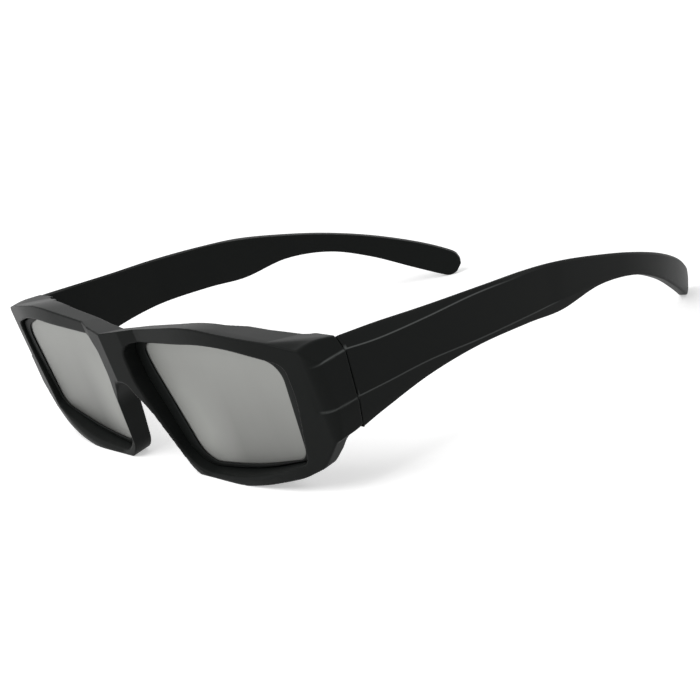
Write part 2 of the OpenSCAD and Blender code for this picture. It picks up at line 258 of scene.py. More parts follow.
class Outline:
    """Signed distance to a closed outline, read off a raster of it."""

    def __init__(self, points, step=0.2, margin=5.0):
        points = np.array(points, float)
        self.step = step
        self.low = points.min(0) - margin
        count = np.ceil((points.max(0) + margin - self.low) / step).astype(int) + 1
        a, b = np.meshgrid(*[self.low[i] + step * np.arange(count[i]) for i in (0, 1)], indexing="ij")
        near = np.full(a.shape, 1e9)
        for p, q in zip(points, np.roll(points, -1, axis=0)):
            e = q - p
            if e @ e > 0:
                t = np.clip(((a - p[0]) * e[0] + (b - p[1]) * e[1]) / (e @ e), 0, 1)
                near = np.minimum(near, (a - p[0] - t * e[0]) ** 2 + (b - p[1] - t * e[1]) ** 2)
        self.table = np.sqrt(near) * np.where(crossings(points, a, b), -1, 1)

    def __call__(self, a, b):
        top = np.array(self.table.shape) - 1.001
        u = np.clip((a - self.low[0]) / self.step, 0, top[0])
        v = np.clip((b - self.low[1]) / self.step, 0, top[1])
        i, j = u.astype(int), v.astype(int)
        u, v, t = u - i, v - j, self.table
        return ((t[i, j] * (1 - u) + t[i + 1, j] * u) * (1 - v)
                + (t[i, j + 1] * (1 - u) + t[i + 1, j + 1] * u) * v)


def plan_outline():
    """Front, seen from above."""
    points = rounded(both([
        [0, PROW_Y],
        [7.5, BROW_Y - 1.9],
        [BROW_IN, BROW_Y],
        [(BROW_IN + CORNER_X) / 2, BROW_Y, WRAP_R],
        [CORNER_X, BROW_Y + WRAP_SET, CORNER_R],
        [HALF_W + PAST_JOINT * CHEEK_SLOPE, JOINT_Y + PAST_JOINT],
        [BLOCK_X + 1.5, JOINT_Y + PAST_JOINT],
        [BLOCK_X, JOINT_Y - 1, 2],
        [BLOCK_X - 10, JOINT_Y - 5.2, 6],
        [BLOCK_X - 15.5, JOINT_Y - 6.7, 3],
        [BROW_AT + 5, RIM_BACK + 2.4, 4],
        [BROW_AT - 8, RIM_BACK, 60],
        [BROW_IN - 0.6, RIM_BACK - 1.1, 30],
        [6, PROW_Y + BRIDGE_DEPTH + 0.2, 3],
        [0, PROW_Y + BRIDGE_DEPTH],
    ]))
    return points * [1, math.cos(FRONT_TILT)]


def opening(inset):
    """Lens opening, drawn in by an inset."""
    return rounded([
        [OPENING_IN + inset, OPENING_TOP - inset, 4.5],
        [CREST_X, OPENING_TOP + OPENING_BOW - inset, 60],
        [OPENING_OUT - inset, OPENING_TOP - 4 - inset, 3.5],
        [OPENING_OUT - inset, OPENING_TOP - 13, 30],
        [OPENING_OUT - 4 - inset, OPENING_LOW + 6.3 + inset, 3],
        [CREST_X - 6, OPENING_LOW + 1.1 + inset, 120],
        [OPENING_IN + NOSE_FOOT + inset, OPENING_LOW + inset, 10],
        [OPENING_IN + inset, NOSE_TURN, 12],
    ])


def window(grow):
    """Window of the lens ring, grown by what the film needs."""
    return rounded([
        [OPENING_IN + RING_SIDE - 0.2 - grow, OPENING_TOP - RING_EDGE + grow, 3],
        [CREST_X, OPENING_TOP + OPENING_BOW - RING_EDGE + grow, 60],
        [OPENING_OUT - RING_SIDE + 1.4 + grow, OPENING_TOP - 3.8 - RING_EDGE + grow, 5],
        [OPENING_OUT - RING_SIDE - 1.4 + grow, OPENING_LOW + 6.5 - grow, 5],
        [CREST_X - 6, OPENING_LOW + 1.1 + RING_EDGE - grow, 120],
        [OPENING_IN + NOSE_FOOT + RING_SIDE - 0.3 - grow, OPENING_LOW + RING_EDGE - grow, 7],
        [OPENING_IN + RING_SIDE + 0.1 - grow, OPENING_TOP - 7, 60],
    ])


def nose_x(z):
    """Side of the nose at height z, along the rim."""
    return OPENING_IN + NOSE_FOOT * (z - NOSE_TURN) / (OPENING_LOW - NOSE_TURN) - NOSE_RIM_W


def front_outline():
    """Front, seen along its tilt."""
    return rounded(both([
        [0, 12],
        [30, 8.3],
        [HALF_W - 4.2, -3.5, 14],
        [HALF_W + 4, -3.5],
        [HALF_W + 4, -CHEEK_DROP],
        [HALF_W - 2, -CHEEK_DROP, 2.5],
        [OPENING_OUT + 0.8, OPENING_LOW + 5.3, 5],
        [CREST_X + 13, OPENING_LOW + 2.4, 25],
        [CREST_X + 1, RIM_LOW + 1.7, 60],
        [CREST_X - 11, RIM_LOW + 0.1, 80],
        [nose_x(RIM_LOW) + 0.6, RIM_LOW, 8],
        [nose_x(NOSE_TURN - 7.7) + 0.1, NOSE_TURN - 7.7, 15],
        [1.8, -BRIDGE_H + 0.2, 3],
    ]))


def brow_outline():
    """Brow line, seen along the temples."""
    return rounded(both([
        [0, 0],
        [BROW_IN, 1.7],
        [BROW_AT, BROW_RISE, 60],
        [BLOCK_X - 2, JOINT_RISE + 0.2],
        [HALF_W + 4, JOINT_RISE + 0.2],
        [HALF_W + 4, -60],
    ]))


def foot_outline():
    """What is cut away behind the cheek's foot, in depth and height."""
    return rounded([
        [40, -CHEEK_DROP + 0.9],
        [18.5, -CHEEK_DROP + 0.4],
        [14.4, -CHEEK_DROP - 0.8, 2],
        [14, -CHEEK_DROP - 3.8, 3],
        [12.2, OPENING_LOW + 4.9, 6],
        [11.6, RIM_LOW - 5],
        [40, RIM_LOW - 5],
    ])


# Frames

def turned(y, z, angle):
    """y and z of points turned about the X axis."""
    return y * math.cos(angle) - z * math.sin(angle), y * math.sin(angle) + z * math.cos(angle)


def spline(points, t):
    """Smooth curve through points, at places t given in points."""
    points = np.array(points, float)
    i = np.clip(np.floor(t).astype(int), 0, len(points) - 2)
    f = (t - i)[:, None]
    a, b = points[np.maximum(i - 1, 0)], points[i]
    c, d = points[i + 1], points[np.minimum(i + 2, len(points) - 1)]
    return b + 0.5 * f * (c - a + f * (2 * a - 5 * b + 4 * c - d + f * (3 * b - a - 3 * c + d)))


def reached(places):
    """Lengths along the temple, from places in its two stretches."""
    return [[u * TEMPLE_RUN if u < 1 else TEMPLE_RUN + (u - 1) * TEMPLE_TIP, z] for u, z in places]


def creased(start, edge, other):
    """Crease that starts on its own line and ends just inside an edge."""
    a, b = np.array(edge), np.array(other)
    step = b - a
    inner = a + step / np.linalg.norm(step, axis=1, keepdims=True) * EDGE_W
    return reached(start) + inner[len(start):].tolist()


TOP_EDGE = reached(TOP_LINE)
BOTTOM_EDGE = reached(BOTTOM_LINE)
UPPER_CREASE = creased(UPPER_START, TOP_EDGE, BOTTOM_EDGE)
LOWER_CREASE = creased(LOWER_START, BOTTOM_EDGE, TOP_EDGE)
UPPER_GAIN = UPPER_LEAN / (JOINT_RISE - UPPER_ROOT)
LOWER_GAIN = LOWER_LEAN / (LOWER_ROOT - BOTTOM_ROOT)
RUN_R = TEMPLE_RUN / RUN_TURN
TIP_R = TEMPLE_TIP / TIP_TURN


def temple_point(s, z, depth):
    """Point of the left temple in its own frame, from the length along its face,
    the height, and the depth behind the face."""
    run = np.minimum(s, TEMPLE_RUN)
    past = np.maximum(s - TEMPLE_RUN, 0)
    h = TEMPLE_AIM + RUN_TURN * run / TEMPLE_RUN + TIP_TURN * past / TEMPLE_TIP
    h1 = TEMPLE_AIM + RUN_TURN * run / TEMPLE_RUN
    x = HALF_W + RUN_R * (np.sin(h1) - math.sin(TEMPLE_AIM)) + TIP_R * (np.sin(h) - np.sin(h1))
    y = JOINT_Y + RUN_R * (math.cos(TEMPLE_AIM) - np.cos(h1)) + TIP_R * (np.cos(h1) - np.cos(h))
    x = x - depth * np.sin(h) + z * CHEEK_SLOPE * math.tan(FRONT_TILT) * np.maximum(0, 1 - s / LEAN_FADE)
    return x, y + depth * np.cos(h), z


def wall_t(s):
    """Thickness of the temple's wall at a length along it."""
    return TIP_T + (ROOT_T - TIP_T) * np.clip(1 - (s - ROOT_KEEP) / ROOT_RUN, 0, 1)


def find_stance():
    """Lean of the standing glasses, their middle in depth, and the floor's height."""
    rim_cut, tip_cut = 0.4, 0.1
    flat, low = (BROW_Y + 0.9) * math.cos(FRONT_TILT), RIM_LOW + 0.2
    rim = turned(flat, low, FRONT_TILT)
    s, z = BOTTOM_EDGE[-2]
    s2, z2 = LOWER_CREASE[-2]
    lean = math.hypot(s - s2, z - z2) * LOWER_GAIN
    tip = [float(v) for v in temple_point(np.array(s), np.array(z), lean)[1:]]
    stance = math.atan2(tip[1] - rim[1] - rim_cut + tip_cut, tip[0] - rim[0])
    floor = turned(rim[0], rim[1], -stance)[1] + rim_cut
    t = np.arange(4 * (len(TOP_EDGE) - 1) + 1) / 4
    depths = []
    for edge, crease, gain in ((TOP_EDGE, UPPER_CREASE, UPPER_GAIN), (BOTTOM_EDGE, LOWER_CREASE, LOWER_GAIN)):
        e, c = spline(edge, t), spline(crease, t)
        for p, d in ((e, np.linalg.norm(e - c, axis=1) * gain), (c, 0 * t), (e, wall_t(e[:, 0]))):
            depths.append(turned(*temple_point(p[:, 0], p[:, 1], d)[1:], -stance)[0].max())
    middle = (turned(PROW_Y, 0, -stance)[0] + max(depths)) / 2
    return stance, middle, floor


STANCE, MIDDLE, FLOOR_Z = find_stance()


def from_temples(x, y, z):
    """Points of the temples' frame on the floor, in millimetres."""
    y, z = turned(y, z, -STANCE)
    return x, y - MIDDLE, z - FLOOR_Z


def from_front(x, y, z):
    """Points of the front's frame on the floor, in millimetres."""
    return from_temples(x, *turned(y, z, FRONT_TILT))


def to_filter(x, y):
    """Place across the left filter and depth behind its ring's face."""
    px, py = x - OPENING_IN, y - (BROW_Y - 2.3 + RING_SET) * math.cos(FRONT_TILT)
    c, s = math.cos(FILTER_WRAP), math.sin(FILTER_WRAP)
    return px * c + py * s + OPENING_IN, py * c - px * s


def from_filter(across, z, depth):
    """Points of the left filter's plane on the floor."""
    c, s = math.cos(FILTER_WRAP), math.sin(FILTER_WRAP)
    px = across - OPENING_IN
    x = px * c - depth * s + OPENING_IN
    y = px * s + depth * c + (BROW_Y - 2.3 + RING_SET) * math.cos(FRONT_TILT)
    return from_front(x, y, z)


def from_hinge(x, y, z):
    """Points beside the left pin, with z along it, on the floor."""
    y, z = turned(y, z, HINGE_LEAN)
    return from_temples(x + PIN_X, y + JOINT_Y, z)


# Solids as distance fields

def meet(a, b, r):
    """What lies in both a and b, with the edge between them rounded."""
    return np.minimum(np.maximum(a, b), -r) + np.hypot(np.maximum(a + r, 0), np.maximum(b + r, 0))


def plane(points):
    """Distance past the plane through three points, listed anticlockwise."""
    p, q, r = [np.array(v, float) for v in points]
    n = unit(np.cross(q - p, r - p))
    return lambda x, y, z: n[0] * (x - p[0]) + n[1] * (y - p[1]) + n[2] * (z - p[2])


def front_field(edge, inner, ledge):
    """Distance field of the front in its own frame."""
    plan, outline, brow = Outline(plan_outline()), Outline(front_outline()), Outline(brow_outline())
    foot, recess, seat = Outline(foot_outline()), Outline(opening(0)), Outline(opening(LEDGE_W))
    upper = plane([[HALF_W - 0.3, JOINT_Y - 7.6, -3.9], [HALF_W, JOINT_Y + 0.8, UPPER_ROOT],
                   [HALF_W - UPPER_LEAN, JOINT_Y, JOINT_RISE]])
    lower = plane([[HALF_W - 0.2, JOINT_Y - 5.1, -15.5],
                   [HALF_W + 0.2 - LOWER_LEAN, JOINT_Y + 4, BOTTOM_ROOT],
                   [HALF_W + 0.1, JOINT_Y + 3.8, LOWER_ROOT]])
    top = plane([[HALF_W, JOINT_Y - 9.2, 0.2], [HALF_W, JOINT_Y, JOINT_RISE],
                 [HALF_W - 13, BROW_Y + 5.5, JOINT_RISE + 0.4]])
    under = plane([[OPENING_OUT - 0.1, 8.9, OPENING_LOW + 4.7], [HALF_W - 2.5, 13.5, -CHEEK_DROP - 3.4],
                   [HALF_W - 1.7, 10.5, -CHEEK_DROP - 0.4]])

    def field(x, y, z):
        a = np.abs(x)
        yt, zt = turned(y, z, FRONT_TILT)
        crease = above_creases(yt, zt)
        steps = smooth(crease[0], -LEDGE_RISE, 0) + smooth(crease[1], 0, LEDGE_RISE)
        steps = ledge * steps * smooth(yt, *LEDGE_START) * smooth(a, 67, 69)
        nose = smooth(-z, 13, 16) * (1 - smooth(a, 16, 20))
        soft = edge * (1 - NOSE_KEEN * nose) + ARCH_ROUND * (1 - smooth(a, 3, 5)) * smooth(-z, 9, 12)
        d = meet(plan(x, y) + steps, outline(x, z), soft)
        d = meet(d, brow(x, zt), edge)
        d = meet(d, (yt - JOINT_Y) * math.cos(HINGE_LEAN) + zt * math.sin(HINGE_LEAN), 0.2)
        d = meet(d, upper(a, yt, zt) + steps, 0.3)
        d = meet(d, lower(a, yt, zt), 0.3)
        d = meet(d, top(a, yt, zt), edge)
        d = meet(d, under(a, y, z), edge)
        d = meet(d, -foot(y, z), edge)
        across, depth = to_filter(a, y)
        rim = inner + RIM_ROUND * smooth(-z, 34, 37) * smooth(a, 16, 22)
        d = meet(d, -meet(recess(across, z), depth - RING_T, inner), rim)
        d = meet(d, -seat(across, z), inner)
        return meet(d, -from_front(x, y, z)[2], 0.1)

    return field


def above_creases(y, z):
    """Heights above the cheek's two creases, in the temples' frame."""
    return [z - at - slope * (y - start) for start, at, slope in (
        (JOINT_Y + 0.8, UPPER_ROOT, 2.4 / 8.4), (JOINT_Y + 3.8, LOWER_ROOT, 2.2 / 8.9))]


def cheek_crease_highlight(points):
    """How much painted highlight lies along the cheek's creases, from 0 to 1."""
    x, y, z = points.T
    y, z = turned(y, z, FRONT_TILT)
    upper, lower = above_creases(y, z)
    line = np.clip(1.2 - np.abs(upper + LEDGE_RISE / 2) / 0.25, 0, 1)
    low_line = np.clip(1.2 - np.abs(lower - LEDGE_RISE / 2) / 0.25, 0, 1)
    line = np.maximum(line, LOWER_HIGHLIGHT * low_line)
    return line * smooth(y, *LEDGE_START) * smooth(np.abs(x), 68, 69.5)


def ear_field(x, y, z, low):
    """Distance field of an ear around the pin, in the hinge's frame."""
    d = np.where(y > PIN_BACK, np.hypot(x, y - PIN_BACK), np.abs(x)) - KNUCKLE_R
    d = meet(d, np.abs(z - low - EAR_T / 2) - EAR_T / 2, 0.25)
    d = np.maximum(d, -LAP - y)
    off = np.hypot(x, y - PIN_BACK)
    d = meet(d, PIN_R + FIT_GAP - off, 0.1)
    return meet(d, -np.maximum(off - HEAD_R - FIT_GAP, -EAR_TOP - HEAD_H - FIT_GAP - z), 0.1)


def knuckle_field(x, y, z):
    """Distance field of the temple's knuckle and web, in the hinge's frame."""
    off = np.hypot(x, y - PIN_BACK)
    d = np.where(x > 0, np.abs(y - PIN_BACK), off) - KNUCKLE_R
    d = meet(d, np.abs(z - KNUCKLE_LOW - KNUCKLE_H / 2) - KNUCKLE_H / 2, 0.25)
    d = np.maximum(d, x - (HALF_W - ROOT_T - PIN_X + LAP))
    return meet(d, PIN_R + PIN_FIT - off, 0.1)


def smooth(x, low, high):
    """0 below low, 1 above high, and a smooth rise between."""
    t = np.clip((x - low) / (high - low), 0, 1)
    return t * t * (3 - 2 * t)


def temple_sections(edge, ledge):
    """Closed sections of the left temple's wall, from its root to its tip, as length
    along the face, height and depth. They run up the outer face and down the inner one."""
    count = len(TOP_EDGE) - 1
    t = np.linspace(0, count, 14 * count + 1)
    lines = [spline(v, t) for v in (BOTTOM_EDGE, LOWER_CREASE, UPPER_CREASE, TOP_EDGE)]
    spans = [np.linalg.norm(b - a, axis=1) for a, b in zip(lines, lines[1:])]
    arc = edge * (1 - np.cos(np.linspace(0, math.pi / 2, 5)))
    step = np.r_[-0.1, np.linspace(0, LEDGE_RISE, 4), LEDGE_RISE + 0.1]
    sections = []
    for i in range(len(t)):
        corners = np.array([v[i] for v in lines])
        low, main, high = [v[i] for v in spans]
        ends = np.cumsum([0, low, main, high])
        full = ends[3]
        out = np.r_[arc, np.linspace(edge, low, 4)[1:-1], low + step,
                    np.linspace(low + LEDGE_RISE, low + main - LEDGE_RISE, 8)[1:-1],
                    low + main - step[::-1], np.linspace(low + main, full - edge, 4)[1:-1],
                    full - arc[::-1]]
        s = corners[0, 0]
        lower = ledge * (1 - smooth(s, *LOWER_FADE)) * smooth(out, low, low + LEDGE_RISE)
        upper = ledge * (1 - smooth(s, *UPPER_FADE)) * smooth(out, low + main - LEDGE_RISE, low + main)
        depth = LOWER_GAIN * np.maximum(low - out, 0) + UPPER_GAIN * np.maximum(out - low - main, 0)
        turn = 1 - np.minimum(np.minimum(out, full - out), edge) / edge
        depth = depth + lower + upper + edge * (1 - np.sqrt(1 - turn ** 2))
        height = full - TOP_FALL
        back = np.r_[height - arc, np.linspace(height - edge, edge, 8)[1:-1], arc[::-1]]
        turn = 1 - np.minimum(np.minimum(back, height - back), edge) / edge
        behind = wall_t(corners[0, 0]) - edge * (1 - np.sqrt(1 - turn ** 2))
        along = np.r_[out, back]
        place = [np.interp(along, ends, corners[:, k]) for k in (0, 1)]
        sections.append(np.column_stack([*place, np.r_[depth, behind]]))
    return sections


def temple_crease_highlight(points):
    """How much painted highlight lies along the temple's creases, from 0 to 1."""
    s, z, depth = points.T
    t = np.linspace(0, 6, 200)
    line = np.zeros(len(s))
    creases = (UPPER_CREASE, UPPER_FADE, -1, 1), (LOWER_CREASE, LOWER_FADE, 1, LOWER_HIGHLIGHT)
    for crease, fade, side, share in creases:
        at = spline(crease, t)
        above = (z - np.interp(s, at[:, 0], at[:, 1])) * side
        near = (above > -0.07) & (above < LEDGE_RISE + 0.06) & (depth < 1)
        line = np.maximum(line, share * near * (1 - smooth(s, *fade)))
    return line


def drawn_in(section, by):
    """A section drawn in towards its middle in height and depth."""
    middle = section[:, 1:].mean(0)
    off = section[:, 1:] - middle
    size = np.abs(off).max(0)
    return np.column_stack([section[:, 0], middle + off * (1 - by / size)])


def past_joint(section):
    """Distance of points of the temple past the plane of its joint."""
    y, z = temple_point(*section.T)[1:]
    return (y - JOINT_Y) * math.cos(HINGE_LEAN) + z * math.sin(HINGE_LEAN)


def temple_wall(edge, ledge):
    """Mesh of the left temple's wall, closed at both ends, and the painted highlight along its creases."""
    sections = temple_sections(edge, ledge)
    root = sections[0].copy()
    for _ in range(3):
        root[:, 0] -= (past_joint(root) - JOINT_GAP) / math.cos(HINGE_LEAN)
    near = root + [END_ROUND, 0, 0]
    start = [drawn_in(root, END_ROUND), drawn_in(root + [END_ROUND * 0.3, 0, 0], END_ROUND * 0.3), near]
    tip = sections[-1]
    stop = [drawn_in(tip - [edge * (1 - math.sin(a)), 0, 0], edge * (1 - math.cos(a)))
            for a in np.linspace(0, math.pi / 2, 5)]
    inner = [v for v in sections[1:-1]
             if (v[:, 0] > near[:, 0] + 0.1).all() and v[0, 0] < tip[0, 0] - edge - 0.1]
    points, faces = swept(start + inner + stop, closed=False)
    n, last = len(tip), len(points) - len(tip)
    caps = [list(range(n)), list(range(last, last + n))[::-1]]
    crease_highlight = temple_crease_highlight(points)
    points = np.column_stack(from_temples(*temple_point(*points.T)))
    points[:, 2] = np.maximum(points[:, 2], 0)
    return points, [list(map(int, f)) for f in faces] + caps, crease_highlight


def sampled(field, low, count, step, block=8):
    """Values of a distance field on a grid, worked out only near its surface."""
    blocks = [math.ceil(n / block) for n in count]
    place = np.stack(np.meshgrid(*[np.arange(n) for n in blocks], indexing="ij"), -1)
    middle = place * block + (block - 1) / 2
    rough = field(*np.moveaxis(low + step * middle, -1, 0))
    value = np.sign(rough).repeat(block, 0).repeat(block, 1).repeat(block, 2)
    offset = np.stack(np.meshgrid(*[np.arange(block)] * 3, indexing="ij"), -1).reshape(-1, 3)
    near = np.argwhere(np.abs(rough) < step * block * 1.1) * block
    for some in np.array_split(near, max(1, len(near) // 400)):
        at = (some[:, None] + offset).reshape(-1, 3)
        value[tuple(at.T)] = field(*(low + step * at).T)
    return value[:count[0], :count[1], :count[2]]


def skin(field, low, high, step):
    """Even mesh of quads on the surface of a distance field."""
    low = np.array(low, float)
    value = sampled(field, low, np.ceil((np.array(high) - low) / step).astype(int) + 1, step)
    inside = value < 0
    shape = np.array(value.shape) - 1
    packed = sum(inside[i:shape[0] + i, j:shape[1] + j, k:shape[2] + k].astype(np.int8)
                 for i in (0, 1) for j in (0, 1) for k in (0, 1))
    cells = np.argwhere((packed > 0) & (packed < 8))
    number = np.full(shape, -1)
    number[tuple(cells.T)] = np.arange(len(cells))
    total, count = np.zeros((len(cells), 3)), np.zeros((len(cells), 1))
    for axis in range(3):
        along = np.eye(3, dtype=int)[axis]
        for i in (0, 1):
            for j in (0, 1):
                start = cells + np.insert([i, j], axis, 0)
                a, b = value[tuple(start.T)], value[tuple((start + along).T)]
                cross = (a < 0) != (b < 0)
                t = np.where(cross, a / np.where(cross, a - b, 1), 0)
                total += cross[:, None] * (start + t[:, None] * along)
                count += cross[:, None]
    points = low + step * total / count
    for _ in range(4):
        d = field(*points.T)
        slope = np.column_stack([
            (field(*(points + e).T) - field(*(points - e).T)) / (2 * e.max())
            for e in np.eye(3) * 0.03
        ])
        move = d[:, None] * slope / np.maximum((slope ** 2).sum(1), 0.1)[:, None]
        length = np.linalg.norm(move, axis=1, keepdims=True)
        points = points - move * np.minimum(1, 0.5 * step / np.maximum(length, 1e-9))
    faces = []
    for axis in range(3):
        along = np.eye(3, dtype=int)[axis]
        u, v = np.eye(3, dtype=int)[(axis + 1) % 3], np.eye(3, dtype=int)[(axis + 2) % 3]
        size = tuple(np.array(value.shape) - along)
        first = inside[tuple(slice(0, n) for n in size)]
        second = inside[tuple(slice(along[i], along[i] + size[i]) for i in range(3))]
        at = np.argwhere(first != second)
        at = at[((at - u - v) >= 0).all(1) & (at < shape).all(1)]
        quad = np.column_stack([number[tuple((at - o).T)] for o in (0 * u, u, u + v, v)])
        flip = ~first[tuple(at.T)]
        quad[flip] = quad[flip][:, ::-1]
        faces.append(quad)
    return points, np.vstack(faces)


# Meshes

def joined(parts):
    """Points and faces of several meshes as one."""
    points, faces, start = [], [], 0
    for p, f in parts:
        points.append(p)
        faces += [[start + i for i in face] for face in f]
        start += len(p)
    return np.vstack(points), faces


def placed(part, frame_of):
    """A mesh moved to the floor's frame."""
    points, faces = part
    return np.column_stack(frame_of(*points.T)), [list(map(int, f)) for f in faces]


def mirrored(part):
    """The same mesh on the wearer's right."""
    points, faces = part
    return points * [-1, 1, 1], [f[::-1] for f in faces]


def add_piece(name, part, body, node, slot, smooth=True, crease_highlight=()):
    """Adds a mesh in millimetres as a piece that rides on a body and stands for a node.
    Its painted crease highlight has a value for each of its first points."""
    points, faces = part
    mesh = bpy.data.meshes.new(name)
    mesh.from_pydata((points * MM).tolist(), [], [list(f) for f in faces])
    # Painted highlight along the creases, kept as a value on each point
    highlight_layer = mesh.attributes.new("crease_highlight", "FLOAT", "POINT")
    highlight_layer.data.foreach_set("value", np.r_[crease_highlight, np.zeros(len(points) - len(crease_highlight))])
    mesh.validate()
    mesh.polygons.foreach_set("use_smooth", [smooth] * len(mesh.polygons))
    mesh.materials.append(shared_material(slot))
    piece = bpy.data.objects.new(name, mesh)
    bpy.context.scene.collection.objects.link(piece)
    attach(piece, body)
    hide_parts(node)
    return piece


def add_pair(name, part, bodies, node, slot, smooth=True, crease_highlight=()):
    """Adds the left piece and its mirror image."""
    for side, made in (("left", part), ("right", mirrored(part))):
        add_piece(f"{name}_{side}", made, bodies[side], f"{node}_{side}", slot, smooth, crease_highlight)


def evenly(outline, centre, n):
    """n points of an outline at equal angles round a centre."""
    closed = np.vstack([outline, outline[:1]])
    steps = np.maximum(1, np.ceil(np.linalg.norm(np.diff(closed, axis=0), axis=1) / 0.4)).astype(int)
    dense = np.vstack([np.linspace(a, b, k, endpoint=False) for a, b, k in zip(closed, closed[1:], steps)])
    off = dense - centre
    angle = np.arctan2(off[:, 1], off[:, 0])
    order = np.argsort(angle)
    angle, radius = angle[order], np.linalg.norm(off, axis=1)[order]
    want = -math.pi + 2 * math.pi * np.arange(n) / n
    r = np.interp(want, np.r_[angle[-1] - 2 * math.pi, angle, angle[0] + 2 * math.pi],
                  np.r_[radius[-1], radius, radius[0]])
    return centre + r[:, None] * np.column_stack([np.cos(want), np.sin(want)])


def swept(rings, closed=True):
    """Quads between rings of points; closed joins the last ring to the first."""
    count, n = len(rings), len(rings[0])
    points = np.vstack(rings)
    i, k = np.meshgrid(np.arange(count if closed else count - 1), np.arange(n), indexing="ij")
    a, b = i * n + k, i * n + (k + 1) % n
    j = (i + 1) % count
    faces = np.stack([a, j * n + k, j * n + (k + 1) % n, b], -1).reshape(-1, 4)
    return points, faces


# Shaders

class Wire:
    """An output socket of a node, for use in expressions."""

    def __init__(self, tree, socket=None):
        self.tree = tree
        self.socket = socket

    def node(self, kind, settings=None, inputs=None, output=0):
        """Adds a node, sets it up, feeds its sockets and returns one output."""
        made = self.tree.nodes.new(kind)
        for key, value in (settings or {}).items():
            if key == "stops":
                ramp = made.color_ramp.elements
                for k, (at, colour) in enumerate(value):
                    stop = ramp[k] if k < len(ramp) else ramp.new(at)
                    stop.position, stop.color = at, colour
            else:
                setattr(made, key, value)
        for key, value in (inputs or {}).items():
            self.feed(made.inputs[key], value)
        return Wire(self.tree, made.outputs[output])

    def feed(self, socket, value):
        """Links a wire to a socket, or sets the socket's own value."""
        if isinstance(value, Wire):
            self.tree.links.new(value.socket, socket)
        else:
            socket.default_value = value

    def _math(self, operation, a, b):
        return self.node("ShaderNodeMath", {"operation": operation}, {0: a, 1: b})

    def __add__(self, other):
        return self._math("ADD", self, other)

    def __radd__(self, other):
        return self._math("ADD", other, self)

    def __sub__(self, other):
        return self._math("SUBTRACT", self, other)

    def __rsub__(self, other):
        return self._math("SUBTRACT", other, self)

    def __mul__(self, other):
        return self._math("MULTIPLY", self, other)

    def __rmul__(self, other):
        return self._math("MULTIPLY", other, self)


def start_material(name):
    """A new material, its maker of nodes and its shader."""
    material = bpy.data.materials.get(name)
    if material:
        bpy.data.materials.remove(material)
    material = bpy.data.materials.new(name)
    material.use_nodes = True
    return material, Wire(material.node_tree), material.node_tree.nodes["Principled BSDF"]


def spread(wire, low, high, first=0.0, last=1.0):
    """A wire's range mapped to another, clamped."""
    return wire.node("ShaderNodeMapRange", {"clamp": True}, {
        "Value": wire, "From Min": low, "From Max": high, "To Min": first, "To Max": last})


def mixed(wire, amount, a, b):
    """Colour a turned towards colour b."""
    return wire.node("ShaderNodeMix", {"data_type": "RGBA"}, {0: amount, 6: a, 7: b}, output=2)


def make_plastic(look):
    """Black moulded plastic with a fine even grain, slightly polished edges and painted crease highlights."""
    material, g, shader = start_material("satin_black_plastic")
    place = g.node("ShaderNodeTexCoord", output="Object")
    grain = g.node("ShaderNodeTexNoise", None, {
        "Vector": place, "Scale": 1 / look.grain_size, "Detail": 2.0, "Roughness": 0.55})
    cloud = g.node("ShaderNodeTexNoise", None, {"Vector": place, "Scale": 70.0, "Detail": 3.0})
    edge = spread(g.node("ShaderNodeNewGeometry", output="Pointiness"), 0.52, 0.6)
    tone = mixed(g, spread(cloud, 0.3, 0.7, 0, 0.25), (*look.plastic_colour, 1), (*look.worn_colour, 1))
    # Painted highlight: a light colour laid along the creases stands in for the light that they catch.
    crease_highlight = g.node("ShaderNodeAttribute", {"attribute_name": "crease_highlight"}, output="Fac")
    tone = mixed(g, edge * 0.5, tone, (*look.worn_colour, 1))
    g.feed(shader.inputs["Base Color"], mixed(g, crease_highlight, tone, (*look.crease_highlight_colour, 1)))
    rough = look.plastic_roughness + 0.08 * (cloud - 0.5) + 0.06 * (grain - 0.5) - 0.08 * edge
    g.feed(shader.inputs["Roughness"], rough)
    g.feed(shader.inputs["Normal"], g.node("ShaderNodeBump", None, {
        "Strength": 0.25, "Distance": 0.00003, "Height": grain}))
    shader.inputs["Specular IOR Level"].default_value = 0.06
    return material


def make_film(look):
    """Silver-grey metallised film with a painted reflection: brighter at its top and low down beside the
    nose.
    """
    material, g, shader = start_material("silver_filter_film")
    place = g.node("ShaderNodeTexCoord", output="Object")
    drawn = g.node("ShaderNodeMapping", None, {"Vector": place, "Scale": (90.0, 90.0, 12.0)})
    streak = g.node("ShaderNodeTexNoise", None, {"Vector": drawn, "Scale": 1.0, "Detail": 3.0})
    cloud = g.node("ShaderNodeTexNoise", None, {"Vector": place, "Scale": 45.0, "Detail": 2.0})
    shift = spread(0.4 * cloud + 0.6 * streak, 0.35, 0.65)
    high = g.node("ShaderNodeSeparateXYZ", None, {0: place}, output=2)
    side = g.node("ShaderNodeSeparateXYZ", None, {0: place}, output=0)
    side = g.node("ShaderNodeMath", {"operation": "ABSOLUTE"}, {0: side})
    # Painted reflection: the colour is lightened towards the film's top and low down beside the nose.
    top = spread(high, 0.006, 0.034, 0, 0.84)
    painted_nose_reflection = spread(side, 0.018, 0.034, 1, 0) * spread(high, 0.012, 0.030, 1, 0)
    shift = 0.14 * shift + top + 1.1 * painted_nose_reflection
    dark, light = [(*[c * k for c in look.film_colour], 1) for k in (0.72, 1.25)]
    g.feed(shader.inputs["Base Color"], mixed(g, shift, dark, light))
    g.feed(shader.inputs["Roughness"], look.film_roughness + 0.04 * (streak - 0.5))
    shader.inputs["Metallic"].default_value = 0.8
    return material


